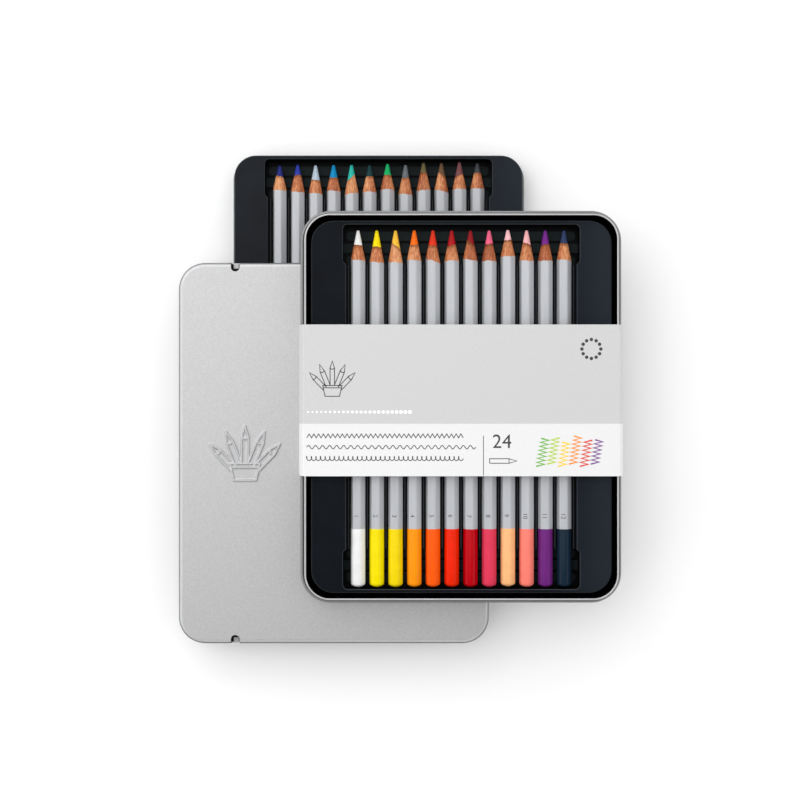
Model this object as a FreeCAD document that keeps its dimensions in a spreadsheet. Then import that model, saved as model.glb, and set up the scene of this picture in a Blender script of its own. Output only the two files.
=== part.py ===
"""Flat tinplate box of two dozen coloured pencils, opened out as a staggered stack.

The upper tray lies on the table, the lid lies open side down across it, and the
tin with the lower tray and its paper band lies on the lid.
Frame: +Z up, +X across the pencils, +Y towards their points, millimetres.
Origin: middle of the footprint, on the surface that the stack lies on.
"""
import FreeCAD
import Part
import Sketcher
import math
import os
import re

# Pencils of each tray from left to right, with the share of the end play that
# lies behind the pencil's tail.
WARM_PENCIL_SHARES = (
    ("white", 0.19), ("yellow", 0.19), ("gold", 0.18), ("light_orange", 0.20),
    ("orange", 0.19), ("red", 0.20), ("dark_red", 0.17), ("rose", 0.19),
    ("peach", 0.28), ("salmon", 0.20), ("purple", 0.19), ("navy", 0.18),
)
COOL_PENCIL_SHARES = (
    ("dark_blue", 0.12), ("blue", 0.25), ("pale_blue", 0.16), ("sky_blue", 0.22),
    ("turquoise", 0.22), ("teal", 0.16), ("green", 0.38), ("grey", 0.22),
    ("olive", 0.56), ("brown", 0.53), ("mauve", 0.70), ("black", 0.50),
)
ROW_STEPS = len(WARM_PENCIL_SHARES) - 1

# Driving dimensions; angles are in degrees and shares are plain numbers.
SIZES = {
    # pencil
    "pencil_length": 175.0,
    "pencil_flats": 6.5,        # across the flats of the hexagonal barrel
    "pencil_corner": 0.8,       # rounding of the barrel's long edges
    "pencil_roll": 12.5,        # turn of the barrel from flat side up
    "dip_thickness": 0.16,      # paint of the dipped end over the barrel
    "dip_length": 28.7,
    "dome_share": 1.3,          # radius of the domed end over the barrel's reach
    "core_diameter": 4.0,
    "core_seat": 2.5,           # wood left behind the core's end
    "glue_gap": 0.05,
    "tip_diameter": 1.9,        # blunt point
    "tip_round": 0.4,
    "cone_angle": 9.9,          # half angle of the sharpened cone
    # tray
    "tray_wall": 0.8,
    "tray_flare": 1.7,          # lean of the outer wall, each side
    "tray_corner": 11.0,
    "tray_edge": 0.8,           # rounding of the panel's outer edge
    "recess_edge": 0.4,         # rounding of the recess's mouth
    "tray_cover": 0.1,          # panel above the thickest pencil
    "side_panel": 15.4,
    "end_border": 1.7,
    "end_play": 3.2,
    "groove_clearance": 0.2,
    "ridge_width": 1.16,
    "ridge_rise": 0.4,          # ridges above the pencils' axes
    "ledge_width": 1.84,
    "well_length": 19.5,
    "well_margin": 1.5,         # wells wider than the grooved field, each side
    "well_corner": 2.4,
    "bar_height": 0.8,
    "bar_width": 4.6,
    "bar_start": 4.9,           # first bar from the well's end
    "bar_pitch": 6.0,
    "bar_inset": 1.3,           # rounded bars short of the well's sides
    "floor_gap": 1.0,           # grooved floor above the foot of the outer wall
    # tin
    "sheet_thickness": 0.4,
    "rim_bead": 0.9,            # rolled rim
    "roll_share": 0.45,         # rounding of the rolled rim over its thickness
    "rim_rise": 2.65,           # rim above the tray's panel
    "tray_clearance": 0.6,      # between the rolled rim and the tray's foot
    "shoulder_height": 6.2,
    "shoulder_step": 2.4,
    "base_edge": 1.2,           # inner rounding of the tin's foot
    "shoulder_edge": 0.4,       # inner rounding of the shoulder
    # lid
    "lid_clearance": 0.3,
    "lid_headroom": 0.4,
    "lid_edge": 1.8,            # inner rounding of the lid's top edge
    "notch_width": 4.3,
    "notch_depth": 4.4,
    "notch_drop": 4.0,
    "notch_inset": 28.3,        # notch from the lid's long side
    "tongue_width": 2.4,
    "tongue_reach": 2.2,
    # paper band
    "card_thickness": 0.4,
    "card_clearance": 0.15,
    "band_width": 73.7,
    "band_offset": 3.15,        # towards the points from the tin's middle
    "fold_radius": 0.5,
    # stack
    "seat_gap": 0.05,
    "spread_width": 219.55,
    "spread_length": 247.2,
    "tin_offset": -5.8,
    "tray_shift": 21.99,        # upper tray from the lid's middle
    "cut_overrun": 0.5,
    "end_flat": 0.1,            # straight stretch left between the roundings of a slot's end
}

# Values worked out from the driving dimensions.
DERIVED = {
    "pencil_reach": "(pencil_flats / 2 + dip_thickness - pencil_corner) / cos(30 deg) + pencil_corner",
    "dome_radius": "pencil_reach * dome_share",
    "cut_radius": "pencil_reach + cut_overrun",
    "cone_slope": "tan(cone_angle * 1 deg)",
    "bore_radius": "core_diameter / 2 + glue_gap",
    "bore_edge": "pencil_length - (bore_radius - tip_diameter / 2) / cone_slope",
    "core_edge": "pencil_length - (core_diameter - tip_diameter) / 2 / cone_slope",
    "cone_foot": "pencil_length - (cut_radius - tip_diameter / 2) / cone_slope",
    "groove_radius": "pencil_reach + groove_clearance",
    "pencil_pitch": "2 * groove_radius + ridge_width",
    "row_width": f"{ROW_STEPS} * pencil_pitch",
    "floor_level": "floor_gap + tray_wall",
    "axis_level": "floor_level + bar_height + groove_radius",
    "tray_height": "axis_level + pencil_reach + tray_cover",
    "field_width": "row_width + 2 * (groove_radius + ledge_width)",
    "well_width": "field_width + 2 * well_margin",
    "recess_length": "pencil_length + end_play",
    "field_length": "recess_length - well_length",
    "tray_width": "well_width + 2 * side_panel",
    "tray_length": "recess_length + 2 * end_border",
    "foot_width": "tray_width + 2 * tray_flare",
    "foot_length": "tray_length + 2 * tray_flare",
    "foot_corner": "tray_corner + tray_flare",
    "hollow_width": "side_panel - 2 * tray_wall",
    "panel_bend": "min(tray_edge; end_border / 2)",
    "mouth_bend": "min(recess_edge; end_border / 4)",
    "neck_width": "foot_width + 2 * (tray_clearance + rim_bead)",
    "neck_length": "foot_length + 2 * (tray_clearance + rim_bead)",
    "neck_corner": "tray_corner + tray_clearance + rim_bead",
    "tin_height": "sheet_thickness + seat_gap + tray_height + rim_rise",
    "base_width": "neck_width + 2 * shoulder_step",
    "base_length": "neck_length + 2 * shoulder_step",
    "base_corner": "neck_corner + shoulder_step",
    "shoulder_bend": "min(shoulder_edge; (shoulder_step - 2 * sheet_thickness) / 4)",
    "lid_grow": "lid_clearance + sheet_thickness",
    "lid_width": "neck_width + 2 * lid_grow",
    "lid_length": "neck_length + 2 * lid_grow",
    "lid_corner": "neck_corner + lid_grow",
    "lid_height": "2 * sheet_thickness + 2 * tray_height + lid_headroom - shoulder_height",
    "band_half": "base_width / 2 + card_clearance + card_thickness",
    "lid_level": "tray_height + seat_gap",
    "tin_level": "lid_level + lid_height + seat_gap + card_thickness + card_clearance",
    "tin_x": "spread_width / 2 - band_half",
    "lid_x": "lid_width / 2 - spread_width / 2",
    "lid_y": "lid_length / 2 - spread_length / 2",
    "tray_x": "lid_x + tray_shift",
    "tray_y": "spread_length / 2 - foot_length / 2",
}

doc = FreeCAD.newDocument("PencilBox")
sheet = doc.addObject("Spreadsheet::Sheet", "Sizes")
for row, (alias, size) in enumerate(SIZES.items(), start=1):
    sheet.set(f"A{row}", alias)
    sheet.set(f"B{row}", str(size))
    sheet.setAlias(f"B{row}", alias)
doc.recompute()


def formula(text):
    """Expression on the sheet's cells for a text of size names."""
    def name(match):
        word = match.group(0)
        return f"({formula(DERIVED[word])})" if word in DERIVED else f"Sizes.{word}"
    return re.sub(r"\b[a-z]+(?:_[a-z]+)+\b", name, text)


def value(text):
    return float(sheet.evalExpression(formula(text)))


def bind(feature, path, text):
    feature.setExpression(path, formula(text))


def new_body(label):
    body = doc.addObject("PartDesign::Body", label)
    body.Label = label
    return body


def place(body, x, y, z, rotation=FreeCAD.Rotation()):
    body.Placement = FreeCAD.Placement(FreeCAD.Vector(), rotation)
    bind(body, "Placement.Base.x", x)
    bind(body, "Placement.Base.y", y)
    bind(body, "Placement.Base.z", z)


def new_sketch(body, name, role, level=None):
    sketch = body.newObject("Sketcher::SketchObject", name)
    plane = next(f for f in body.Origin.OriginFeatures if f.Role == role)
    sketch.AttachmentSupport = [(plane, "")]
    sketch.MapMode = "FlatFace"
    if level:
        bind(sketch, "AttachmentOffset.Base.z", level)
    return sketch


def point(x, y):
    return FreeCAD.Vector(value(x), value(y), 0)


def measure(sketch, constraint, text):
    index = sketch.addConstraint(constraint)
    bind(sketch, f"Constraints[{index}]", text)


def pin_point(sketch, geometry, end, x, y):
    """Hold a sketch point at the two given sizes from the sketch's origin."""
    for kind, text, axis in (("DistanceX", x, -2), ("DistanceY", y, -1)):
        size = value(text)
        if size == 0:
            sketch.addConstraint(Sketcher.Constraint("PointOnObject", geometry, end, axis))
        elif size > 0:
            measure(sketch, Sketcher.Constraint(kind, -1, 1, geometry, end, size), text)
        else:
            measure(sketch, Sketcher.Constraint(kind, geometry, end, -1, 1, -size), f"-({text})")


def polygon(sketch, corners):
    first = sketch.GeometryCount
    count = len(corners)
    places = [point(x, y) for x, y in corners]
    for step in range(count):
        sketch.addGeometry(Part.LineSegment(places[step], places[(step + 1) % count]))
    for step in range(count):
        after = first + (step + 1) % count
        sketch.addConstraint(Sketcher.Constraint("Coincident", first + step, 2, after, 1))
    for step, (x, y) in enumerate(corners):
        pin_point(sketch, first + step, 1, x, y)


def rectangle(sketch, width, length, x="0", y="0"):
    left, right = f"{x} - ({width}) / 2", f"{x} + ({width}) / 2"
    low, high = f"{y} - ({length}) / 2", f"{y} + ({length}) / 2"
    polygon(sketch, ((left, low), (right, low), (right, high), (left, high)))


def rounded_rectangle(sketch, width, length, radius, x="0", y="0"):
    first = sketch.GeometryCount
    bend = value(radius)
    middle = point(x, y)
    reach_x = value(width) / 2 - bend
    reach_y = value(length) / 2 - bend
    for turn, (side_x, side_y) in enumerate(((1, -1), (1, 1), (-1, 1), (-1, -1))):
        centre = middle + FreeCAD.Vector(side_x * reach_x, side_y * reach_y, 0)
        circle = Part.Circle(centre, FreeCAD.Vector(0, 0, 1), bend)
        start = (turn - 1) * math.pi / 2
        sketch.addGeometry(Part.ArcOfCircle(circle, start, start + math.pi / 2))
    for turn in range(4):
        here = sketch.getPoint(first + turn, 2)
        there = sketch.getPoint(first + (turn + 1) % 4, 1)
        sketch.addGeometry(Part.LineSegment(here, there))
    for turn in range(4):
        line = first + 4 + turn
        sketch.addConstraint(Sketcher.Constraint("Tangent", first + turn, 2, line, 1))
        sketch.addConstraint(Sketcher.Constraint("Tangent", line, 2, first + (turn + 1) % 4, 1))
    for arc in range(first + 1, first + 4):
        sketch.addConstraint(Sketcher.Constraint("Equal", first, arc))
    for line, kind in ((4, "Vertical"), (5, "Horizontal"), (6, "Vertical"), (7, "Horizontal")):
        sketch.addConstraint(Sketcher.Constraint(kind, first + line))
    measure(sketch, Sketcher.Constraint("Radius", first, bend), radius)
    pin_point(sketch, first, 3, f"{x} + ({width}) / 2 - ({radius})", f"{y} - ({length}) / 2 + {radius}")
    pin_point(sketch, first + 2, 3, f"{x} - ({width}) / 2 + {radius}", f"{y} + ({length}) / 2 - ({radius})")


def extrude(body, kind, name, sketch, length, upward=False, both_ways=False):
    feature = body.newObject(f"PartDesign::{kind}", name)
    feature.Profile = sketch
    if both_ways:
        feature.SideType = "Symmetric"
    feature.Reversed = upward
    bind(feature, "Length", length)
    return feature


def turn(body, kind, name, sketch):
    feature = body.newObject(f"PartDesign::{kind}", name)
    feature.Profile = sketch
    feature.ReferenceAxis = (sketch, ["V_Axis"])
    return feature


def round_edges(body, name, base, radius, chosen):
    """Fillet the edges of the base for which chosen(edge) holds."""
    base.recompute(True)
    edges = [f"Edge{n}" for n, edge in enumerate(base.Shape.Edges, start=1) if chosen(edge)]
    feature = body.newObject("PartDesign::Fillet", name)
    feature.Base = (base, edges)
    bind(feature, "Radius", radius)
    return feature


def at_level(text, width=None):
    """Test for edges that lie flat at one level, and within a width on X if one is given."""
    level = value(text)

    def chosen(edge):
        box = edge.BoundBox
        flat = max(abs(box.ZMin - level), abs(box.ZMax - level)) <= edge.Tolerance
        return flat and (width is None or max(-box.XMin, box.XMax) <= value(width) / 2 + edge.Tolerance)
    return chosen


# Pencils
def hexagon(sketch, flats):
    radius = f"({flats}) / 2 / cos(30 deg)"
    corners = []
    for side in range(6):
        corners.append((f"{radius} * cos({60 * side} deg)", f"{radius} * sin({60 * side} deg)"))
    corners[0] = (radius, "0")
    corners[3] = (f"-{radius}", "0")
    polygon(sketch, corners)


def pencil_casing(label):
    body = new_body(label)
    barrel_section = new_sketch(body, "BarrelSection", "XY_Plane")
    hexagon(barrel_section, "pencil_flats")
    extrude(body, "Pad", "Barrel", barrel_section, "pencil_length")
    dip_section = new_sketch(body, "DipSection", "XY_Plane")
    hexagon(dip_section, "pencil_flats + 2 * dip_thickness")
    dip = extrude(body, "Pad", "Dip", dip_section, "dip_length")
    round_edges(body, "BarrelEdges", dip, "pencil_corner",
                lambda edge: edge.BoundBox.ZLength > value("dip_length") / 2)
    cuts = new_sketch(body, "TipAndTail", "XZ_Plane")
    polygon(cuts, (
        ("0", "core_seat"), ("bore_radius", "core_seat"), ("bore_radius", "bore_edge"),
        ("cut_radius", "cone_foot"), ("cut_radius", "pencil_length + cut_overrun"),
        ("0", "pencil_length + cut_overrun")))
    dome_cut(cuts)
    turn(body, "Groove", "Sharpening", cuts)
    return body


def dome_cut(sketch):
    """Region outside the pencil's domed tail."""
    first = sketch.GeometryCount
    radius = value("dome_radius")
    rise = "dome_radius - sqrt(dome_radius ^ 2 - cut_radius ^ 2)"
    circle = Part.Circle(point("0", "dome_radius"), FreeCAD.Vector(0, 0, 1), radius)
    opening = math.asin(value("cut_radius") / radius)
    sketch.addGeometry(Part.ArcOfCircle(circle, -math.pi / 2, opening - math.pi / 2))
    route = (("cut_radius", rise), ("cut_radius", "-cut_overrun"), ("0", "-cut_overrun"), ("0", "0"))
    for (x, y), (next_x, next_y) in zip(route, route[1:]):
        sketch.addGeometry(Part.LineSegment(point(x, y), point(next_x, next_y)))
    for step in range(3):
        sketch.addConstraint(Sketcher.Constraint("Coincident", first + step, 2, first + step + 1, 1))
    sketch.addConstraint(Sketcher.Constraint("Coincident", first + 3, 2, first, 1))
    sketch.addConstraint(Sketcher.Constraint("Coincident", first, 1, -1, 1))
    pin_point(sketch, first, 3, "0", "dome_radius")
    measure(sketch, Sketcher.Constraint("DistanceX", -1, 1, first, 2, value("cut_radius")), "cut_radius")
    pin_point(sketch, first + 1, 2, "cut_radius", "-cut_overrun")
    pin_point(sketch, first + 2, 2, "0", "-cut_overrun")


def pencil_core(label):
    body = new_body(label)
    profile = new_sketch(body, "Profile", "XZ_Plane")
    polygon(profile, (
        ("0", "core_seat + glue_gap"), ("core_diameter / 2", "core_seat + glue_gap"),
        ("core_diameter / 2", "core_edge"), ("tip_diameter / 2", "pencil_length"), ("0", "pencil_length")))
    core = turn(body, "Revolution", "Core", profile)
    round_edges(body, "Point", core, "tip_round", at_level("pencil_length"))
    return body


def pencil_row(pencil_shares, x, y, level):
    """A casing and a core for each pencil of one tray."""
    lengthwise = FreeCAD.Rotation(FreeCAD.Vector(1, 0, 0), -90)
    roll = FreeCAD.Rotation(FreeCAD.Vector(0, 0, 1), -value("pencil_roll"))
    for slot, (colour, tail_share) in enumerate(pencil_shares):
        across = f"{x} + ({slot} - {ROW_STEPS} / 2) * pencil_pitch"
        along = f"{y} - recess_length / 2 + end_play * {tail_share}"
        for make, piece in ((pencil_casing, "casing"), (pencil_core, "core")):
            body = make(f"pencil_{colour}_{piece}")
            place(body, across, along, f"{level} + axis_level", lengthwise * roll)
            yield body


# Trays
def tray(label, x, y, level):
    body = new_body(label)
    outline = new_sketch(body, "Outline", "XY_Plane")
    rounded_rectangle(outline, "foot_width", "foot_length", "foot_corner")
    block = extrude(body, "Pad", "Block", outline, "tray_height")
    bind(block, "TaperAngle", "-atan(tray_flare / tray_height)")
    round_edges(body, "PanelEdge", block, "panel_bend", at_level("tray_height"))

    under = new_sketch(body, "Underside", "XY_Plane")
    rounded_rectangle(under, "foot_width - 2 * tray_wall", "foot_length - 2 * tray_wall",
                      "foot_corner - tray_wall")
    extrude(body, "Pocket", "FloorGap", under, "floor_gap", upward=True)
    hollows = new_sketch(body, "PanelHollows", "XY_Plane")
    for side in ("", "-"):
        rounded_rectangle(hollows, "hollow_width", "tray_length - tray_corner",
                          "min(tray_corner; hollow_width - end_flat) / 2",
                          f"{side}(tray_width - side_panel) / 2")
    extrude(body, "Pocket", "Hollows", hollows, "tray_height - tray_wall", upward=True)

    field = new_sketch(body, "Field", "XY_Plane", "tray_height")
    rectangle(field, "field_width", "field_length")
    extrude(body, "Pocket", "FieldCut", field, "tray_height - axis_level - ridge_rise")
    wells = new_sketch(body, "Wells", "XY_Plane", "tray_height")
    for side in ("", "-"):
        rounded_rectangle(wells, "well_width", "well_length", "well_corner", "0", f"{side}field_length / 2")
    mouth = extrude(body, "Pocket", "WellCut", wells, "tray_height - floor_level")
    round_edges(body, "MouthEdge", mouth, "mouth_bend", at_level("tray_height", "well_width"))
    groove = new_sketch(body, "GrooveSection", "XZ_Plane")
    circle = groove.addGeometry(Part.Circle(point("-row_width / 2", "axis_level"), FreeCAD.Vector(0, 0, 1),
                                            value("groove_radius")))
    measure(groove, Sketcher.Constraint("Radius", circle, value("groove_radius")), "groove_radius")
    pin_point(groove, circle, 3, "-row_width / 2", "axis_level")
    cut = extrude(body, "Pocket", "Groove", groove, "field_length", both_ways=True)
    row_of_grooves(body, cut)

    bars = new_sketch(body, "WellBars", "XY_Plane", "floor_level")
    for side in ("", "-"):
        for step in range(3):
            along = f"{side}(recess_length / 2 - bar_start - {step} * bar_pitch)"
            if step == 1:
                rectangle(bars, "well_width", "bar_width", "0", along)
            else:
                rounded_rectangle(bars, "well_width - 2 * bar_inset", "bar_width",
                                  "(bar_width - end_flat) / 2", "0", along)
    extrude(body, "Pad", "Bars", bars, "bar_height")
    place(body, x, y, level)
    return body


def row_of_grooves(body, cut):
    pattern = body.newObject("PartDesign::LinearPattern", "Grooves")
    pattern.Originals = [cut]
    axis = next(f for f in body.Origin.OriginFeatures if f.Role == "X_Axis")
    pattern.Direction = (axis, [""])
    pattern.Occurrences = ROW_STEPS + 1
    bind(pattern, "Length", "row_width")
    body.Tip = pattern


# Tinplate
def tin_base(label):
    body = new_body(label)
    foot = new_sketch(body, "FootOutline", "XY_Plane")
    rounded_rectangle(foot, "base_width", "base_length", "base_corner")
    extrude(body, "Pad", "Foot", foot, "shoulder_height")
    neck = new_sketch(body, "NeckOutline", "XY_Plane")
    rounded_rectangle(neck, "neck_width", "neck_length", "neck_corner")
    extrude(body, "Pad", "Neck", neck, "tin_height")
    mouth = new_sketch(body, "Mouth", "XY_Plane", "tin_height")
    rounded_rectangle(mouth, "neck_width - 2 * rim_bead", "neck_length - 2 * rim_bead",
                      "neck_corner - rim_bead")
    extrude(body, "Pocket", "MouthCut", mouth, "tin_height - sheet_thickness")
    inside = new_sketch(body, "NeckInside", "XY_Plane", "sheet_thickness")
    rounded_rectangle(inside, "neck_width - 2 * sheet_thickness", "neck_length - 2 * sheet_thickness",
                      "neck_corner - sheet_thickness")
    extrude(body, "Pocket", "NeckCut", inside, "tin_height - rim_bead - sheet_thickness", upward=True)
    hollow = new_sketch(body, "FootInside", "XY_Plane", "sheet_thickness")
    rounded_rectangle(hollow, "base_width - 2 * sheet_thickness", "base_length - 2 * sheet_thickness",
                      "base_corner - sheet_thickness")
    shell = extrude(body, "Pocket", "FootCut", hollow, "shoulder_height - 2 * sheet_thickness", upward=True)

    # each bend of the sheet has an inner and an outer radius
    bends = (
        ("FootInner", "sheet_thickness", "base_edge"),
        ("FootOuter", "0", "base_edge + sheet_thickness"),
        ("ShoulderInner", "shoulder_height - sheet_thickness", "shoulder_bend"),
        ("ShoulderOuter", "shoulder_height", "shoulder_bend + sheet_thickness"),
        ("RimRoll", "tin_height", "rim_bead * roll_share"),
    )
    for name, level, radius in bends:
        shell = round_edges(body, name, shell, radius, at_level(level))
    place(body, "tin_x", "tin_offset", "tin_level")
    return body


def lid(label):
    body = new_body(label)
    outline = new_sketch(body, "Outline", "XY_Plane")
    rounded_rectangle(outline, "lid_width", "lid_length", "lid_corner")
    extrude(body, "Pad", "Block", outline, "lid_height")
    inside = new_sketch(body, "Inside", "XY_Plane")
    rounded_rectangle(inside, "lid_width - 2 * sheet_thickness", "lid_length - 2 * sheet_thickness",
                      "lid_corner - sheet_thickness")
    shell = extrude(body, "Pocket", "Hollow", inside, "lid_height - sheet_thickness", upward=True)
    shell = round_edges(body, "TopInner", shell, "lid_edge", at_level("lid_height - sheet_thickness"))
    round_edges(body, "TopOuter", shell, "lid_edge + sheet_thickness", at_level("lid_height"))

    notches = new_sketch(body, "Notches", "XY_Plane", "lid_height")
    tongues = new_sketch(body, "Tongues", "XY_Plane", "lid_height - notch_drop - sheet_thickness")
    middle = "notch_inset - lid_width / 2"
    for side in ("", "-"):
        rounded_rectangle(notches, "notch_width", "2 * notch_depth", "(notch_width - end_flat) / 2", middle,
                          f"{side}lid_length / 2")
        rectangle(tongues, "tongue_width", "tongue_reach + sheet_thickness / 2", middle,
                  f"{side}(lid_length / 2 - sheet_thickness / 2 - (tongue_reach + sheet_thickness / 2) / 2)")
    extrude(body, "Pocket", "NotchCut", notches, "notch_drop")
    extrude(body, "Pad", "Tongue", tongues, "sheet_thickness")
    place(body, "lid_x", "lid_y", "lid_level")
    return body


# Paper band
def paper_band(label):
    body = new_body(label)
    section = new_sketch(body, "Section", "XZ_Plane")
    for grow in ("card_clearance", "card_clearance + card_thickness"):
        right = (
            (f"neck_width / 2 + {grow}", f"tin_height + {grow}"),
            (f"base_width / 2 + {grow}", f"shoulder_height + {grow}"),
            (f"base_width / 2 + {grow}", f"-({grow})"),
        )
        left = [(f"-({x})", y) for x, y in reversed(right)]
        polygon(section, (*right, *left))
    loop = extrude(body, "Pad", "Loop", section, "band_width", both_ways=True)
    outer_top = value("tin_height + card_clearance + card_thickness")
    outer_half = value("band_half")

    def outer_fold(edge):
        middle = edge.CenterOfMass
        outermost = max(abs(middle.x) - outer_half, middle.z - outer_top)
        return edge.BoundBox.YLength > value("band_width") / 2 and outermost >= -edge.Tolerance

    round_edges(body, "Folds", loop, "fold_radius", outer_fold)
    place(body, "tin_x", "tin_offset + band_offset", "tin_level")
    return body


pieces = [
    tin_base("tin_base"),
    tray("lower_tray", "tin_x", "tin_offset", "tin_level + sheet_thickness + seat_gap"),
    tray("upper_tray", "tray_x", "tray_y", "0"),
    lid("lid"),
    paper_band("paper_band"),
    *pencil_row(WARM_PENCIL_SHARES, "tin_x", "tin_offset", "tin_level + sheet_thickness + seat_gap"),
    *pencil_row(COOL_PENCIL_SHARES, "tray_x", "tray_y", "0"),
]
doc.recompute()

for item in doc.Objects:
    if {"Invalid", "Error"} & set(item.State):
        raise RuntimeError(f"{item.Name} of {item.Label} failed: {item.State}")
for piece in pieces:
    if piece.Shape.isNull() or not piece.Shape.isValid() or len(piece.Shape.Solids) != 1:
        raise RuntimeError(f"{piece.Label} is not one valid solid")

os.makedirs("parts", exist_ok=True)
for piece in pieces:
    piece.Shape.exportStep(f"parts/{piece.Label}.step")
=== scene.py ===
"""Looks of the opened pencil box: lacquered pencils, satin tinplate, moulded trays and a
printed band.

Lengths are in metres in the frame of the solids: +X across the pencils, +Y towards their
points, +Z up. Colours are sRGB from 0 to 255.
"""
import bmesh
import bpy
import math
import numpy as np
from mathutils import Matrix, Vector


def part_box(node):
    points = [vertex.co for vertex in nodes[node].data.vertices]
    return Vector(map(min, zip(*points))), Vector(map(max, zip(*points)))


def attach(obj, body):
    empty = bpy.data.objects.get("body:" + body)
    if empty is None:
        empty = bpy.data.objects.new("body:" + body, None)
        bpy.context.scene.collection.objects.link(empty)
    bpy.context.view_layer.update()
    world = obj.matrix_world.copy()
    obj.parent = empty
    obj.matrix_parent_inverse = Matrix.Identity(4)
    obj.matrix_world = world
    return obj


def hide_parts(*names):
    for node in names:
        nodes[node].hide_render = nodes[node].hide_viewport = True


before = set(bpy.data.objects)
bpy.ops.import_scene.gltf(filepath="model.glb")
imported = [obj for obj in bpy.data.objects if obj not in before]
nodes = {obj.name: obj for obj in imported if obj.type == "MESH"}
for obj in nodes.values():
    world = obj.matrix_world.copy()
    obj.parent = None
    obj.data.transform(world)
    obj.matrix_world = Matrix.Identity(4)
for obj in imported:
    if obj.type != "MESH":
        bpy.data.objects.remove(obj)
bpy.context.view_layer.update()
MM = 0.001


# Materials
NOISE_LOW, NOISE_HIGH = 0.3, 0.7  # most values of a noise lie between these
NOISE_ROUGHNESS = 0.55


def linear(colour):
    """Scene colour of an sRGB colour."""
    shares = [c / 255 for c in colour]
    return [s / 12.92 if s <= 0.04045 else ((s + 0.055) / 1.055) ** 2.4 for s in shares]


def shade(colour, share):
    """A colour made lighter or darker by a share."""
    return tuple(min(255, max(0, c * (1 + share))) for c in colour)


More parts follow.
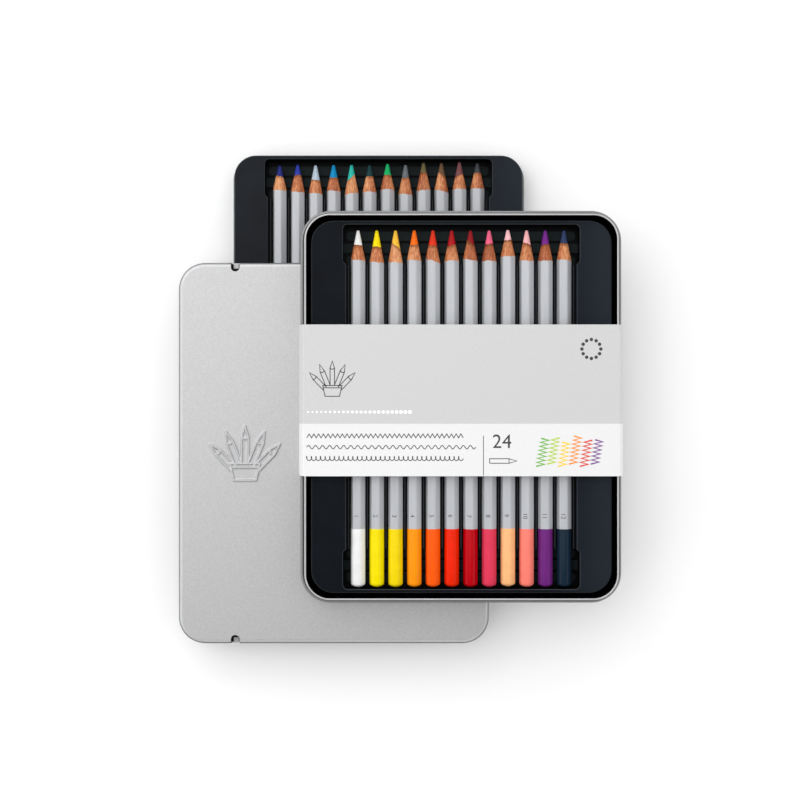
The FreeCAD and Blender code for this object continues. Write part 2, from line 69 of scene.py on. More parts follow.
class Paint:
    """A principled material and the nodes that vary it."""

    def __init__(self, name, roughness=0.5, metallic=0.0, specular=0.5):
        self.material = bpy.data.materials.new(name)
        self.material.use_nodes = True
        self.tree = self.material.node_tree
        self.shader = self.tree.nodes["Principled BSDF"]
        self.shader.inputs["Roughness"].default_value = roughness
        self.shader.inputs["Metallic"].default_value = metallic
        self.shader.inputs["Specular IOR Level"].default_value = specular
        self.coordinates = self.add("ShaderNodeTexCoord")
        self.place = self.coordinates.outputs["Object"]

    def add(self, kind, **settings):
        node = self.tree.nodes.new(kind)
        for key, setting in settings.items():
            setattr(node, key, setting)
        return node

    def link(self, source, target):
        self.tree.links.new(source, target)

    def noise(self, size, detail=2.0, stretch=(1, 1, 1)):
        """Noise with spots of about the given size, longer along an axis with a larger stretch."""
        mapping = self.add("ShaderNodeMapping")
        mapping.inputs["Scale"].default_value = [1 / s for s in stretch]
        self.link(self.place, mapping.inputs["Vector"])
        noise = self.add("ShaderNodeTexNoise")
        noise.inputs["Scale"].default_value = 1 / size
        noise.inputs["Detail"].default_value = detail
        noise.inputs["Roughness"].default_value = NOISE_ROUGHNESS
        self.link(mapping.outputs["Vector"], noise.inputs["Vector"])
        return noise.outputs["Fac"]

    def ramp(self, value, stops):
        """Colours at the given values."""
        ramp = self.add("ShaderNodeValToRGB")
        elements = ramp.color_ramp.elements
        while len(elements) < len(stops):
            elements.new(1.0)
        for element, (position, colour) in zip(elements, stops):
            element.position = position
            element.color = (*linear(colour), 1)
        self.link(value, ramp.inputs["Fac"])
        return ramp.outputs["Color"]

    def tones(self, noise, first, second):
        """Colours between two by a noise."""
        return self.ramp(noise, ((NOISE_LOW, first), (NOISE_HIGH, second)))

    def mix(self, value, first, second):
        """The first colour where the value is 0, the second where it is 1."""
        mix = self.add("ShaderNodeMix", data_type="RGBA")
        self.link(value, mix.inputs["Factor"])
        for socket, colour in ((mix.inputs["A"], first), (mix.inputs["B"], second)):
            if isinstance(colour, bpy.types.NodeSocket):
                self.link(colour, socket)
            else:
                socket.default_value = (*linear(colour), 1)
        return mix.outputs["Result"]

    def math(self, operation, *values):
        node = self.add("ShaderNodeMath", operation=operation)
        for socket, value in zip(node.inputs, values):
            if isinstance(value, bpy.types.NodeSocket):
                self.link(value, socket)
            else:
                socket.default_value = value
        return node.outputs["Value"]

    def times(self, first, second):
        return self.math("MULTIPLY", first, second)

    def vector(self, operation, first, second=None):
        node = self.add("ShaderNodeVectorMath", operation=operation)
        self.link(first, node.inputs[0])
        if second:
            node.inputs[1].default_value = second
        return node.outputs["Value" if operation == "LENGTH" else "Vector"]

    def axis(self, letter):
        """One coordinate of the place on the object."""
        axes = self.add("ShaderNodeSeparateXYZ")
        self.link(self.place, axes.inputs["Vector"])
        return axes.outputs[letter]

    def scale(self, value, start, end, low=0.0, high=1.0):
        """Map the range from start to end onto low to high."""
        scale = self.add("ShaderNodeMapRange")
        limits = {"From Min": start, "From Max": end, "To Min": low, "To Max": high}
        for name, limit in limits.items():
            scale.inputs[name].default_value = limit
        self.link(value, scale.inputs["Value"])
        return scale.outputs["Result"]

    def spread(self, noise, low, high):
        """Map the middle of a noise onto a range."""
        return self.scale(noise, NOISE_LOW, NOISE_HIGH, low, high)

    def lean(self, flat, steep, letter="Z"):
        """0 where the normal's share along an axis is flat, 1 where it falls to steep."""
        axes = self.add("ShaderNodeSeparateXYZ")
        self.link(self.coordinates.outputs["Normal"], axes.inputs["Vector"])
        return self.scale(axes.outputs[letter], flat, steep)

    def above(self, letter, level, low=0.0, high=1.0):
        """The high value above a level of an axis, the low one below it."""
        over = self.math("GREATER_THAN", self.axis(letter), level)
        return over if (low, high) == (0.0, 1.0) else self.scale(over, 0, 1, low, high)

    def away(self, value, middle):
        """Distance of a value from a middle."""
        return self.math("ABSOLUTE", self.math("SUBTRACT", value, middle))

    def line(self, value, middle, core, width):
        """1 within the core's distance of the middle, falling to 0 at the width."""
        return self.scale(self.away(value, middle), width, core)

    def colour(self, output):
        self.link(output, self.shader.inputs["Base Color"])
        return self

    def rough(self, output):
        self.link(output, self.shader.inputs["Roughness"])
        return self

    def bump(self, height, strength, depth):
        bump = self.add("ShaderNodeBump")
        bump.inputs["Strength"].default_value = strength
        bump.inputs["Distance"].default_value = depth
        self.link(height, bump.inputs["Height"])
        self.link(bump.outputs["Normal"], self.shader.inputs["Normal"])
        return self


def varied(paint, colour, share, size, stretch=(1, 1, 1)):
    """Colour that drifts by a share to each side over spots of the given size."""
    spots = paint.noise(size, stretch=stretch)
    return paint.colour(paint.tones(spots, shade(colour, -share), shade(colour, share)))


SATIN = 0.65  # metallic share of the tinplate
LOW_PAINTED_SHADE = 0.3  # strength of the painted shade low on the tin and the lid
LID_EDGE = 2.2 * MM  # the lid's rounded edge ends this far below its top


def silver(paint):
    """Tone of the tinplate; gives the paint its grain."""
    grain = paint.noise(0.7 * MM, detail=3)
    paint.rough(paint.spread(grain, 0.40, 0.50)).bump(grain, 0.10, 0.05 * MM)
    return paint.tones(paint.noise(0.8 * MM), (183, 183, 184), (195, 195, 196))


def tinplate():
    """Satin tinplate with a fine grain and painted shade on its edges, darkest towards -Y."""
    paint = Paint("tinplate", metallic=SATIN)
    # painted shade: steep faces darker, darkest where they face -Y, weaker below the lid's rounded
    # edge
    strength = paint.above("Z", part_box("lid")[1].z - LID_EDGE, LOW_PAINTED_SHADE, 1.0)
    edge = paint.mix(paint.lean(-0.1, -0.5, "Y"), (112, 113, 115), (62, 63, 65))
    share = paint.times(paint.lean(0.93, 0.6), strength)
    paint.colour(paint.mix(share, silver(paint), edge))
    return paint.material


def lined_tinplate():
    """Tinplate with painted shade: black inside its rolled rim, darker round the foot of the rim
    and beyond.
    """
    paint = Paint("lined_tinplate", specular=0.0)
    low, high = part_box("tin_base")
    step, corner, sheet = 2.4 * MM, 12.5 * MM, 0.2 * MM
    rim_width, rim_height = 0.6 * MM, 0.85 * MM
    wall_top, ledge, bottom = low.z + 5.0 * MM, low.z + 5.85 * MM, low.z + 0.25 * MM
    # outward is the distance out from the rounded outline of the neck
    from_middle = paint.vector("SUBTRACT", paint.place, (*((low + high) / 2).xy, 0))
    quarter = paint.vector("ABSOLUTE", from_middle)
    straight = (high - low).xy / 2 - Vector((step + corner, step + corner))
    beyond = paint.vector("MAXIMUM", paint.vector("SUBTRACT", quarter, (*straight, 1)), (0, 0, 0))
    outward = paint.math("SUBTRACT", paint.vector("LENGTH", beyond), corner)
    # painted shade: a dark line round the foot of the rim, a darker shoulder and darker steep
    # outer walls, all weaker low on the walls
    foot = paint.times(paint.line(outward, 0.75 * MM, 0.5 * MM, 0.9 * MM), 0.9)
    shoulder = paint.scale(outward, 0.2 * MM, 0.6 * MM, 0.0, 0.55)
    outline = paint.scale(outward, 1.2 * MM, 1.5 * MM, 0.0, 0.85)
    outline = paint.times(paint.lean(0.95, 0.5), outline)
    dark = paint.math("MAXIMUM", paint.math("MAXIMUM", foot, shoulder), outline)
    dark = paint.times(dark, paint.above("Z", wall_top, LOW_PAINTED_SHADE, 1.0))
    tone = paint.mix(dark, silver(paint), (44, 45, 47))
    # painted shade: black and not metallic inside the rolled rim, where the gap beside the tray
    # lies in shade
    on_rim = paint.times(paint.above("Z", high.z - rim_height), rim_width)
    reach = paint.above("Z", ledge, step - 0.3 * MM, -sheet)
    within = paint.math("LESS_THAN", outward, paint.math("SUBTRACT", reach, on_rim))
    inside = paint.times(within, paint.above("Z", bottom))
    paint.colour(paint.mix(inside, tone, (7, 8, 10)))
    paint.link(paint.scale(inside, 0, 1, SATIN, 0), paint.shader.inputs["Metallic"])
    return paint.material


BAR_RISE = 2.6 * MM  # bars in a tray's wells, above its underside
RIDGE_DROP = 3.59 * MM  # ridges between its grooves, below its panel
WELL_DROP = 1.0 * MM  # its wells and grooves, below its panel
EDGE_DROP = 0.9 * MM  # its rounded edges, below its panel
PITCH = 9.2 * MM  # from pencil to pencil


def black_plastic(node, dark, light, wall):
    """Moulded plastic, with painted highlights on a tray's edges, its wells' bars and its ridges.
    """
    paint = Paint(f"black_plastic_{node}", specular=0.06)
    low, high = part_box(node)
    middle, half = (low.x + high.x) / 2, (high.x - low.x) / 2
    flat = paint.math("SUBTRACT", 1.0, paint.lean(0.97, 0.9))
    steep = paint.lean(0.98, 0.8)

    def level(height):
        """1 on flat faces at a height."""
        return paint.times(flat, paint.line(paint.axis("Z"), height, 0.3 * MM, 0.31 * MM))

    tone = paint.tones(paint.noise(14 * MM), dark, light)
    # painted sheen: lighter towards the tray's right edge
    right = paint.scale(paint.axis("X"), high.x - 30 * MM, high.x)
    tone = paint.mix(right, tone, (35, 41, 48))
    # painted shade: near black in the wells and grooves, below the panel
    tone = paint.mix(paint.above("Z", high.z - WELL_DROP), (6, 7, 9), tone)
    # painted light: the flat tops of the bars in the wells lighter
    tone = paint.mix(level(low.z + BAR_RISE), tone, (29, 37, 39))
    # painted highlight: a thin lighter line along the crests of the ridges between the grooves
    from_middle = paint.math("SUBTRACT", paint.axis("X"), middle)
    crest = paint.scale(paint.math("PINGPONG", from_middle, PITCH / 2), 0.26 * MM, 0.10 * MM)
    tone = paint.mix(paint.times(level(high.z - RIDGE_DROP), crest), tone, (52, 55, 59))
    # painted light and shade on the steep side walls: they take the wall tone given for each tray
    side = paint.scale(paint.away(paint.axis("X"), middle), half - 11.0 * MM, half - 1.7 * MM)
    tone = paint.mix(paint.times(side, steep), tone, wall)
    # painted highlight on the steep rounded edges just below the panel
    edges = paint.times(steep, paint.above("Z", high.z - EDGE_DROP))
    paint.colour(paint.mix(edges, tone, (58, 62, 67)))
    paint.rough(paint.spread(paint.noise(6 * MM), 0.34, 0.44))
    return paint.bump(paint.noise(0.35 * MM), 0.12, 0.02 * MM).material


def printed_card(edge):
    """Coated card, grey towards the pencils' points and white below the given place."""
    paint = Paint("printed_card")
    fibre = paint.noise(0.9 * MM, detail=4)
    white = paint.tones(fibre, (220, 220, 220), (226, 226, 226))
    grey = paint.tones(fibre, (193, 193, 193), (199, 199, 199))
    paint.colour(paint.mix(paint.above("Y", edge), white, grey))
    return paint.bump(fibre, 0.06, 0.03 * MM).material


def lacquer():
    """Silver lacquer with fine flakes."""
    paint = Paint("silver_lacquer", metallic=0.12)
    varied(paint, (172, 174, 178), 0.02, 3 * MM, stretch=(1, 8, 1))
    flake = paint.noise(0.12 * MM, detail=1)
    paint.rough(paint.spread(flake, 0.32, 0.42))
    return paint.bump(flake, 0.05, 0.01 * MM).material


def wood():
    """Bare wood with long streaks, lighter or darker from pencil to pencil."""
    paint = Paint("wood", 0.62)
    streaks = paint.noise(0.45 * MM, detail=4, stretch=(1, 16, 1))
    drift = paint.spread(paint.noise(9 * MM, stretch=(1, 8, 8)), -0.2, 0.2)
    stops = ((0.2, (124, 56, 25)), (0.45, (170, 92, 47)), (0.8, (226, 164, 112)))
    paint.colour(paint.ramp(paint.math("ADD", streaks, drift), stops))
    return paint.bump(streaks, 0.25, 0.05 * MM).material


LAMP_SHARE = 0.07  # the lamps lighten the pencils' colours by about this share


def pigment(name, colour):
    paint = Paint(f"pigment_{name}", 0.55, specular=0.15)
    varied(paint, shade(colour, -LAMP_SHARE), 0.07, 0.5 * MM, stretch=(1, 3, 1))
    return paint.bump(paint.noise(0.25 * MM), 0.15, 0.04 * MM).material


def dip(name, colour):
    """Glossy paint of a dipped end."""
    paint = Paint(f"dip_{name}", specular=0.1)
    varied(paint, shade(colour, -LAMP_SHARE), 0.02, 5 * MM)
    return paint.rough(paint.spread(paint.noise(2.5 * MM), 0.17, 0.23)).material


def ink(name, colour):
    return varied(Paint(f"ink_{name}"), colour, 0.06, 0.4 * MM).material


METAL = tinplate()
LACQUER = lacquer()
WOOD = wood()
DARK_INK = ink("dark", (52, 54, 57))
INK_LIFT = 0.012 * MM  # height of the printing above its surface


# Meshes
SMOOTH = math.radians(25)  # edges with a smaller angle are shaded smooth


def piece(name, mesh, materials, body):
    """A new object of a bmesh that rides on a body."""
    data = bpy.data.meshes.new(name)
    for edge in mesh.edges:
        edge.smooth = edge.calc_face_angle(0.0) < SMOOTH
    for face in mesh.faces:
        face.smooth = True
    mesh.to_mesh(data)
    mesh.free()
    for material in materials:
        data.materials.append(material)
    made = bpy.data.objects.new(name, data)
    bpy.context.scene.collection.objects.link(made)
    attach(made, body)
    return made


def add_rings(mesh, rings, start, end, kinds):
    """Skin rings of points, closed by a point at each end; kinds gives each band's material."""
    rows = [[mesh.verts.new(p) for p in ring] for ring in rings]
    count = len(rows[0])
    first, last = mesh.verts.new(start), mesh.verts.new(end)
    for side in range(count):
        after = (side + 1) % count
        mesh.faces.new((first, rows[0][side], rows[0][after])).material_index = kinds[0]
        for low, high, kind in zip(rows, rows[1:], kinds[1:]):
            face = mesh.faces.new((low[side], high[side], high[after], low[after]))
            face.material_index = kind
        mesh.faces.new((last, rows[-1][after], rows[-1][side])).material_index = kinds[-1]


# Pencils
LENGTH = 175 * MM
FLATS = 6.5 * MM
CORNER = 0.8 * MM
ROLL = math.radians(12.5)  # a flat's turn from facing up
ROLL_SPREAD = 3  # degrees
# degrees round a sixth of the barrel, from the middle of its flat
SECTOR = (-28, -26, -23.5, -22, -15, -7.5, 0, 7.5, 15, 22, 23.5, 26, 28, 30)
BARREL_RINGS = (60 * MM, 100 * MM, 140 * MM)

DIP_LENGTH = 28.7 * MM
DIP_PAINT = 0.16 * MM  # thickness of the dipped end's paint
DIP_CORNER = 2.1 * MM
DIP_WAVE = 0.06 * MM
DOME = 4.96 * MM  # radius of the domed tail
DOME_EDGE = 0.88  # share of the reach at which the dome bends into the side
DOME_FALL = 0.7 * MM
NUMBER_PLACE = 6.4 * MM  # from the dipped end to the number
NUMBER_HEIGHT = 2.1 * MM

TIP = 0.66 * MM  # radius of the core's blunt point
CUT_WAVE = 0.35 * MM
PAINT_BACK = 1.1  # mm from the cone's edge on a flat back to the paint's edge
PAINT_STRAIGHT = 0.82  # 1 where the paint ends straight across the flats
PAINT_INSET, PAINT_LEAST = 0.12 * MM, 0.02 * MM
CORE = 2.0 * MM
BORE = 2.05 * MM
BORE_END = LENGTH - 22 * MM
SEAT = 2.5 * MM  # from the tail to the bore's closed end
PLAY = 0.05 * MM  # between the bore's end and the core
POINT = 0.4 * MM  # length of the blunt point
SEAM = 0.004 * MM  # the core's step below the wood

# colour: core, dipped end, length of the bared core and of the sharpened cone in mm, each
# followed by how much longer it is on the right side
PENCILS = {
    "white": ((246, 246, 245), (238, 238, 238), 7.2, 0.2, 14.1, 0.3),
    "yellow": ((255, 228, 0), (247, 226, 0), 8.1, 0.2, 15.0, 0.4),
    "gold": ((253, 196, 62), (245, 217, 8), 7.5, 3.4, 15.0, 0.5),
    "light_orange": ((252, 112, 18), (255, 150, 10), 7.2, -0.4, 14.1, 0.3),
    "orange": ((226, 52, 26), (255, 92, 8), 7.5, 0.3, 14.4, 2.2),
    "red": ((174, 18, 24), (240, 38, 2), 7.4, -0.5, 14.3, 0.0),
    "dark_red": ((146, 20, 28), (186, 0, 16), 5.9, 3.0, 13.9, 0.9),
    "rose": ((242, 100, 134), (224, 58, 88), 6.7, -0.4, 14.4, 0.2),
    "peach": ((255, 196, 200), (255, 190, 130), 5.1, -0.3, 12.6, -0.3),
    "salmon": ((255, 184, 188), (255, 130, 115), 6.5, 1.2, 14.3, 0.3),
    "purple": ((116, 36, 138), (108, 36, 120), 6.9, -0.7, 14.3, 0.0),
    "navy": ((44, 60, 100), (20, 38, 54), 6.3, 0.5, 14.0, 0.6),
    "dark_blue": ((36, 46, 124), (30, 38, 96), 5.5, 1.4, 12.4, 0.2),
    "blue": ((44, 60, 166), (36, 52, 160), 5.4, -0.5, 13.5, 0.4),
    "pale_blue": ((184, 200, 212), (172, 190, 206), 7.7, 0.3, 14.0, 0.5),
    "sky_blue": ((6, 138, 194), (0, 132, 206), 6.6, 0.2, 13.0, 0.3),
    "turquoise": ((44, 188, 170), (20, 168, 156), 6.5, -3.2, 14.2, -0.6),
    "teal": ((22, 60, 62), (14, 62, 66), 5.8, 0.3, 13.3, 0.2),
    "green": ((22, 178, 102), (10, 158, 84), 5.8, 0.2, 12.8, 0.1),
    "grey": ((106, 111, 116), (110, 116, 122), 6.7, -0.4, 14.5, 0.5),
    "olive": ((108, 98, 62), (104, 96, 52), 5.0, 0.3, 13.6, -0.7),
    "brown": ((108, 80, 56), (100, 66, 42), 5.9, 2.4, 13.9, 1.4),
    "mauve": ((124, 74, 78), (116, 58, 66), 6.9, -2.0, 13.5, -0.3),
    "black": ((66, 68, 74), (34, 35, 38), 5.0, 0.2, 12.7, 0.2),
}


def hexagon(angles, flats, corner):
    """Reach of a rounded hexagon at angles from the middle of a flat."""
    half = flats / 2
    corner_reach = (half - corner) / math.cos(math.radians(30))
    off = np.abs((angles + math.pi / 6) % (math.pi / 3) - math.pi / 6)
    to_corner = math.pi / 6 - off
    arc = np.sqrt(np.maximum(corner ** 2 - (corner_reach * np.sin(to_corner)) ** 2, 0))
    rounded = corner_reach * np.cos(to_corner) + arc
    on_flat = np.tan(off) <= (half - corner) * math.tan(math.radians(30)) / half
    return np.where(on_flat, half / np.cos(off), rounded)


def ragged(rng, angles, size):
    """Small waves round a cut edge."""
    waves = np.zeros_like(angles)
    for turns in (2, 3, 5, 9, 14):
        height = rng.uniform(0.4, 1.0) / turns ** 0.5
        waves += height * np.sin(turns * angles + rng.uniform(0, 6.28))
    return size * waves / 2


DIGIT_HEIGHT = 0.69  # height of a digit as a share of the font's size


def number_mesh(text, height):
    """Flat digits standing along +X with their middle at the origin."""
    curve = bpy.data.curves.new("number", "FONT")
    curve.body = text
    curve.size = height / DIGIT_HEIGHT
    curve.align_x = "CENTER"
    curve.resolution_u = 4
    holder = bpy.data.objects.new("number", curve)
    bpy.context.scene.collection.objects.link(holder)
    bpy.context.view_layer.update()
    evaluated = holder.evaluated_get(bpy.context.evaluated_depsgraph_get())
    flat = bpy.data.meshes.new_from_object(evaluated)
    bpy.data.objects.remove(holder)
    bpy.data.curves.remove(curve)
    flat.transform(Matrix.Translation((0, -height / 2, 0)))
    return flat


def add_flat(mesh, flat, matrix, kind):
    """Put a flat mesh into a bmesh with one material."""
    flat.transform(matrix)
    before = len(mesh.faces)
    mesh.from_mesh(flat)
    mesh.faces.ensure_lookup_table()
    for face in mesh.faces[before:]:
        face.material_index = kind
    bpy.data.meshes.remove(flat)


def pencil(colour, number):
    """A casing and a core in place of a pencil's solids."""
    core_colour, dip_colour, core_length, core_lean, cone_length, cone_lean = PENCILS[colour]
    low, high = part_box(f"pencil_{colour}_casing")
    tail = Vector(((low.x + high.x) / 2, low.y, (low.z + high.z) / 2))
    rng = np.random.default_rng(number)
    roll = math.pi / 2 + ROLL + math.radians(rng.uniform(-ROLL_SPREAD, ROLL_SPREAD))
    angles = roll + np.radians([60 * side + step for side in range(6) for step in SECTOR])
    across, upward = np.cos(angles), np.sin(angles)
    barrel = hexagon(angles - roll, FLATS, CORNER)
    painted = hexagon(angles - roll, FLATS + 2 * DIP_PAINT, DIP_CORNER)

    def on_axis(along):
        return tail + Vector((0, along, 0))

    def ring(along, reach):
        reach = np.broadcast_to(reach, angles.shape)
        along = np.broadcast_to(along, angles.shape)
        return [tail + Vector(p) for p in zip(reach * across, along, reach * upward)]

    slope = (FLATS / 2 - TIP) / (cone_length - PAINT_BACK + cone_lean / 2 * across) / MM

    def cone(along):
        return TIP + (LENGTH - along) * slope

    cone_edge = LENGTH - (barrel - TIP) / slope
    straight = LENGTH - (barrel.max() - TIP) / slope
    inset = np.maximum(ragged(rng, angles, CUT_WAVE) + PAINT_INSET, PAINT_LEAST)
    paint_edge = cone_edge + PAINT_STRAIGHT * (straight - cone_edge) - inset
    core_edge = LENGTH - (core_length + core_lean / 2 * across) * MM
    core_edge += ragged(rng, angles, CUT_WAVE)

    # casing: dipped end, barrel, bare wood and the bore for the core
    paint, dipped, bare, printed_number = range(4)
    rings, kinds = [], []

    def band(along, reach, kind):
        rings.append(ring(along, reach))
        kinds.append(kind)

    def dome(share):
        return DOME - np.sqrt(DOME ** 2 - (share * painted) ** 2)

    for share in (0.3, 0.55, 0.75, DOME_EDGE):
        band(dome(share), share * painted, dipped)
    for t in (0.25, 0.5, 0.75, 1.0):
        leave, bend, reach = (1 - t) ** 2, 2 * t * (1 - t), t * t
        along = leave * dome(DOME_EDGE) + bend * dome(1) + reach * (dome(1) + DOME_FALL)
        band(along, painted * (leave * DOME_EDGE + bend + reach), dipped)
    dip_edge = DIP_LENGTH + ragged(rng, angles, DIP_WAVE)
    band(dip_edge - 0.35 * MM, painted, dipped)
    band(dip_edge - 0.12 * MM, barrel + 0.75 * (painted - barrel), dipped)
    band(dip_edge, barrel, dipped)
    band(dip_edge + 0.1 * MM, barrel, paint)
    for along in BARREL_RINGS:
        band(along, barrel, paint)
    band(paint_edge, barrel, paint)
    band(cone_edge, barrel, bare)
    for share in (0.3, 0.65, 1.0):
        along = cone_edge + share * (core_edge - cone_edge)
        band(along, cone(along), bare)
    band(BORE_END, BORE, bare)
    band(SEAT, BORE, bare)
    kinds.append(bare)
    mesh = bmesh.new()
    add_rings(mesh, rings, tail, on_axis(SEAT), kinds)
    facet = Matrix.Translation(on_axis(DIP_LENGTH + NUMBER_PLACE))
    facet = facet @ Matrix.Rotation(math.pi / 2 - roll, 4, "Y")
    facet = facet @ Matrix.Rotation(-math.pi / 2, 4, "Z")
    facet = facet @ Matrix.Translation((0, 0, FLATS / 2 + INK_LIFT))
    add_flat(mesh, number_mesh(str(number), NUMBER_HEIGHT), facet, printed_number)
    materials = (LACQUER, dip(colour, dip_colour), WOOD, DARK_INK)
    casing = piece(f"casing_{colour}", mesh, materials, f"pencil_{colour}")
    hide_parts(f"pencil_{colour}_casing")

    # core with its blunt point
    rings = [ring(SEAT + PLAY, CORE), ring(BORE_END, CORE)]
    rings.append(ring(core_edge, cone(core_edge) - SEAM))
    for share in (0.35, 0.7):
        along = core_edge + share * (LENGTH - POINT - core_edge)
        rings.append(ring(along, cone(along)))
    for back, share in ((POINT, 1.0), (0.2 * MM, 0.96), (0.06 * MM, 0.84), (0.01 * MM, 0.5)):
        rings.append(ring(LENGTH - back, share * cone(LENGTH - back)))
    mesh = bmesh.new()
    add_rings(mesh, rings, on_axis(SEAT + PLAY), on_axis(LENGTH), [0] * (len(rings) + 1))
    material = pigment(colour, core_colour)
    core = piece(f"core_{colour}", mesh, (material,), f"pencil_{colour}")
    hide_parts(f"pencil_{colour}_core")


for place, name in enumerate(PENCILS, start=1):
    pencil(name, place)


# Lines of the printed band and of the raised emblem
def fan(size):
    """Outlines of a fan of simple pencils standing in a cup, round the origin."""
    half, foot, point, collar, middle = 0.062, 0.30, 0.20, 0.035, 0.49
    lines = []
    for turn in (-44, -22, 0, 22, 44):
        reach = 0.98 - 0.0016 * abs(turn)
        neck = reach - point
        spin = Matrix.Rotation(math.radians(-turn), 2)
        outline = ((-half, foot), (-half, neck), (0, reach), (half, neck), (half, foot))
        for line in (outline, ((-half, neck), (0, neck - collar), (half, neck))):
            lines.append([spin @ Vector(p) for p in line])
    cup = ((-0.27, 0.30), (-0.20, 0.0), (0.20, 0.0), (0.27, 0.30), (-0.27, 0.30))
    lip = ((-0.255, 0.235), (0.255, 0.235))
    lines += [[Vector(p) for p in line] for line in (cup, lip)]
    return [[(p.x * size, (p.y - middle) * size) for p in line] for line in lines]


def zigzag(length, height, step):
    """A back and forth stroke."""
    count = max(2, round(length / step))
    return [(length * turn / count, height * (0.5 if turn % 2 else -0.5))
            for turn in range(count + 1)]


def wave(length, height, count, points=12):
    """A wavy stroke of half waves."""
    shares = [turn / (points * count) for turn in range(points * count + 1)]
    return [(length * share, height / 2 * math.sin(math.pi * count * share)) for share in shares]


def loops(length, height, count, points=18):
    """A stroke of round loops."""
    line = []
    for turn in range(points * count + 1):
        angle = 2 * math.pi * turn / points
        swing = 0.55 * height * (math.cos(angle) - 1) / 2
        line.append((length * turn / (points * count) + swing, height / 2 * math.sin(angle)))
    return line


TURN_BACK = 0.2  # a stroke whose runs nearly turn back keeps the first one's direction
MITRE = 0.45  # limits the point of a sharp turn


def add_line(mesh, line, width, level, offset=(0, 0)):
    """A flat ribbon along a line."""
    points = [Vector((x + offset[0], y + offset[1])) for x, y in line]
    last = len(points) - 1
    sides = []
    for step, here in enumerate(points):
        before, after = points[max(step - 1, 0)], points[min(step + 1, last)]
        lead = (here - before).normalized() if step else (after - here).normalized()
        leave = (after - here).normalized() if step < last else lead
        run = lead + leave
        run = run.normalized() if run.length > TURN_BACK else lead
        across = Vector((-run.y, run.x)) * width / 2 / max(abs(run.dot(lead)), MITRE)
        sides.append([mesh.verts.new((*(here + across * sign), level)) for sign in (1, -1)])
    for (a, b), (c, d) in zip(sides, sides[1:]):
        mesh.faces.new((a, b, d, c))


def circle(x, y, radius, count):
    """Points round a circle."""
    angles = [2 * math.pi * turn / count for turn in range(count)]
    return [(x + radius * math.cos(angle), y + radius * math.sin(angle)) for angle in angles]


def add_dot(mesh, x, y, radius, level):
    mesh.faces.new([mesh.verts.new((*p, level)) for p in circle(x, y, radius, 20)])


# Printed band
band_low, band_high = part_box("paper_band")
PRINT_LEVEL = band_high.z + INK_LIFT
CARD = printed_card(band_low.y + 25.5 * MM)
THIN, PEN, BROAD = 0.34 * MM, 0.42 * MM, 0.85 * MM  # widths of strokes


def on_band(x, y):
    """Place on the band's top, in mm from its left edge and its lower edge."""
    return band_low.x + x * MM, band_low.y + y * MM


def printed(name, material, draw, *details):
    """A piece of printing that a function draws."""
    mesh = bmesh.new()
    draw(mesh, *details)
    piece(f"print_{name}", mesh, (material,), "paper_band")


def dark_print(mesh):
    """The fan, three test strokes, a rule, a ring of dots, the count and a small pencil."""
    for line in fan(17.5 * MM):
        add_line(mesh, line, PEN, PRINT_LEVEL, on_band(16.6, 47.4))
    strokes = {
        19.6: zigzag(76 * MM, 1.9 * MM, 1.15 * MM),
        14.1: wave(82 * MM, 1.7 * MM, 48),
        8.6: loops(76 * MM, 2.0 * MM, 34),
    }
    for height, line in strokes.items():
        add_line(mesh, line, PEN, PRINT_LEVEL, on_band(4.2, height))
    add_line(mesh, ((0, 0), (0, 19.3 * MM)), THIN, PRINT_LEVEL, on_band(90.0, 0.4))
    for dot in circle(*on_band(142.4, 61.8), 4.6 * MM, 12):
        add_dot(mesh, *dot, 0.85 * MM, PRINT_LEVEL)
    count = Matrix.Translation((*on_band(99.0, 17.0), PRINT_LEVEL))
    add_flat(mesh, number_mesh("24", 6.6 * MM), count, 0)
    barrel = ((0, -1.1), (0, 1.1), (9.4, 1.1), (13.2, 0), (9.4, -1.1), (0, -1.1))
    for line in (barrel, ((9.4, 1.1), (9.4, -1.1))):
        line = [(x * MM, y * MM) for x, y in line]
        add_line(mesh, line, 0.4 * MM, PRINT_LEVEL, on_band(93.0, 7.4))


def white_print(mesh):
    """A row of growing dots."""
    for step in range(24):
        place = on_band(4.8 + 2.15 * step, 31.2)
        add_dot(mesh, *place, (0.45 + 0.022 * step) * MM, PRINT_LEVEL)


def colour_print(mesh, step):
    """One of a row of slanting scribbles."""
    climb = zigzag((13.6 - 0.9 * (step % 3)) * MM, 3.8 * MM, 0.95 * MM)
    line = [(y + 0.18 * x, x) for x, y in climb]
    add_line(mesh, line, BROAD, PRINT_LEVEL, on_band(117.5 + 5.3 * step, 4.8 + 1.1 * (step % 2)))


STROKES = {
    "green": (110, 176, 62), "lime": (176, 202, 60), "yellow": (244, 200, 30),
    "orange": (240, 140, 36), "red": (214, 62, 44), "violet": (120, 70, 140),
}
printed("dark", DARK_INK, dark_print)
printed("white", ink("white", (252, 252, 252)), white_print)
for step, (name, colour) in enumerate(STROKES.items()):
    printed(name, ink(name, colour), colour_print, step)


# Lid
lid_low, lid_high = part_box("lid")


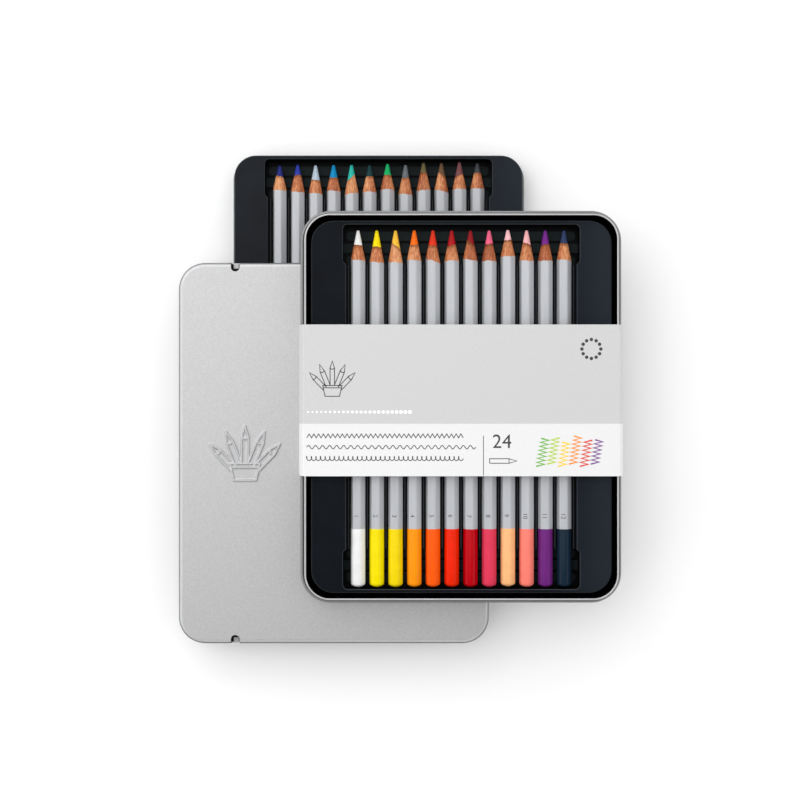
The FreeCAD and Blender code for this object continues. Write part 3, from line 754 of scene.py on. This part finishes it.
def emblem():
    """Raised fan of pencils on the lid, a fine grid that swells along the fan's lines."""
    count, side = 170, 37 * MM
    line_reach, line_height, lift = 0.95 * MM, 0.6 * MM, 0.006 * MM
    centre_x, centre_y = lid_low.x + 33.2 * MM, (lid_low.y + lid_high.y) / 2
    steps = np.linspace(-side / 2, side / 2, count)
    x, y = np.meshgrid(steps, steps, indexing="ij")
    near = np.full_like(x, 1.0)
    for line in fan(27.5 * MM):
        for (ax, ay), (bx, by) in zip(line, line[1:]):
            dx, dy = bx - ax, by - ay
            share = np.clip(((x - ax) * dx + (y - ay) * dy) / (dx * dx + dy * dy), 0, 1)
            near = np.minimum(near, np.hypot(x - ax - share * dx, y - ay - share * dy))
    crest = np.clip(1 - near / line_reach, 0, 1)
    z = lid_high.z + lift + line_height * crest * crest * (3 - 2 * crest)
    mesh = bmesh.new()
    rows = [[mesh.verts.new(p) for p in zip(centre_x + x[i], centre_y + y[i], z[i])]
            for i in range(count)]
    for near_row, far_row in zip(rows, rows[1:]):
        for j in range(count - 1):
            mesh.faces.new((near_row[j], far_row[j], far_row[j + 1], near_row[j + 1]))
    piece("lid_emblem", mesh, (METAL,), "lid")


def notch_pockets():
    """Painted shade: dark cups under the lid's two notches, where the inside of the lid lies in
    shade.
    """
    paint = Paint("painted_notch_shade", 0.6)
    varied(paint, (12, 12, 13), 0.1, 0.8 * MM)
    middle, half, reach = lid_low.x + 28.3 * MM, 2.6 * MM, 5.2 * MM
    depth, sheet, wall, turns = 5.4 * MM, 0.41 * MM, 0.2 * MM, 12
    outline = [(half, sheet)]
    for turn in range(turns + 1):
        angle = math.pi * turn / turns
        outline.append((half * math.cos(angle), reach - half + half * math.sin(angle)))
    outline.append((-half, sheet))
    mesh = bmesh.new()
    for end, inward in ((lid_low.y, 1), (lid_high.y, -1)):
        rows = []
        for drop, narrow in ((sheet, 1.0), (1.8 * MM, 1.0), (depth - 0.4 * MM, 1.0), (depth, 0.9)):
            rows.append([mesh.verts.new((middle + narrow * x, end + inward * y, lid_high.z - drop))
                         for x, y in outline])
        for upper, lower in zip(rows, rows[1:]):
            for (a, b), (c, d) in zip(zip(upper, upper[1:]), zip(lower, lower[1:])):
                mesh.faces.new((a, b, d, c))
        mesh.faces.new(rows[-1])
    bmesh.ops.recalc_face_normals(mesh, faces=mesh.faces)
    bmesh.ops.solidify(mesh, geom=mesh.faces[:], thickness=wall)
    piece("notch_pockets", mesh, (paint.material,), "lid")


emblem()
notch_pockets()

# Finishes of the solids
# each tray's two plastic tones and its side walls' tone: one plastic, painted lighter on the upper
# tray with painted light on its walls, and darker on the lower tray in the tin with painted shade
# on its walls
TRAY_LIT_AND_SHADED_TONES = {
    "lower_tray": ((13, 16, 21), (16, 20, 26), (10, 11, 13)),
    "upper_tray": ((25, 27, 31), (29, 32, 37), (62, 65, 68)),
}
FINISHES = {"tin_base": lined_tinplate(), "lid": METAL, "paper_band": CARD}
for name, tones in TRAY_LIT_AND_SHADED_TONES.items():
    FINISHES[name] = black_plastic(name, *tones)
for name, finish in FINISHES.items():
    slots = nodes[name].data.materials
    slots.clear()
    slots.append(finish)


# Floor, light and camera
def floor():
    """Pale floor that stays as pale in the distance as under the lamps."""
    paint = Paint("floor", 0.7)
    varied(paint, (244, 244, 244), 0.004, 0.2)
    glow = paint.scale(paint.vector("LENGTH", paint.place), 0.6, 1.9, 0.0, 0.75)
    paint.shader.inputs["Emission Color"].default_value = (1, 1, 1, 1)
    paint.link(glow, paint.shader.inputs["Emission Strength"])
    mesh = bmesh.new()
    bmesh.ops.create_grid(mesh, x_segments=1, y_segments=1, size=8)
    data = bpy.data.meshes.new("floor")
    mesh.to_mesh(data)
    mesh.free()
    data.materials.append(paint.material)
    ground = bpy.data.objects.new("floor", data)
    ground.location.z = -0.2 * MM
    bpy.context.scene.collection.objects.link(ground)


def softbox(name, place, size, power):
    """A rectangular lamp that faces the origin."""
    light = bpy.data.lights.new(name, "AREA")
    light.shape = "RECTANGLE"
    light.size, light.size_y = size
    light.energy = power
    lamp = bpy.data.objects.new(name, light)
    lamp.location = place
    lamp.rotation_euler = (-Vector(place)).to_track_quat("-Z", "Y").to_euler()
    lamp.visible_camera = False
    bpy.context.scene.collection.objects.link(lamp)


SKY = ((0.05, 1.0), (0.12, 0.8), (0.25, 0.8), (0.9, 0.12))  # height and brightness


def studio():
    """Surroundings that are bright along the horizon and dim overhead."""
    world = bpy.data.worlds.new("studio")
    world.use_nodes = True
    tree = world.node_tree
    direction = tree.nodes.new("ShaderNodeTexCoord")
    height = tree.nodes.new("ShaderNodeSeparateXYZ")
    tone = tree.nodes.new("ShaderNodeValToRGB")
    elements = tone.color_ramp.elements
    while len(elements) < len(SKY):
        elements.new(1.0)
    for element, (position, grey) in zip(elements, SKY):
        element.position = position
        element.color = (grey, grey, grey, 1)
    tree.links.new(direction.outputs["Generated"], height.inputs["Vector"])
    tree.links.new(height.outputs["Z"], tone.inputs["Fac"])
    tree.links.new(tone.outputs["Color"], tree.nodes["Background"].inputs["Color"])
    return world


floor()
softbox("top", (-0.35, 0.5, 1.5), (1.5, 1.5), 10.5)
softbox("key", (-1.4, 0.2, 0.95), (3.2, 1.9), 21)
softbox("back", (0.1, 1.5, 0.9), (2.6, 1.5), 13)
softbox("right", (1.3, -0.1, 0.9), (1.2, 2.0), 7)
softbox("front", (0.3, -1.6, 1.0), (2.4, 1.3), 8)
scene = bpy.context.scene
scene.world = studio()
scene.view_settings.view_transform = "Standard"

lens = bpy.data.cameras.new("camera")
lens.sensor_width = 36
lens.lens = 60.04
camera = bpy.data.objects.new("camera", lens)
camera.location = (0.375 * MM, -2.475 * MM, 689.3 * MM)
scene.collection.objects.link(camera)
scene.camera = camera
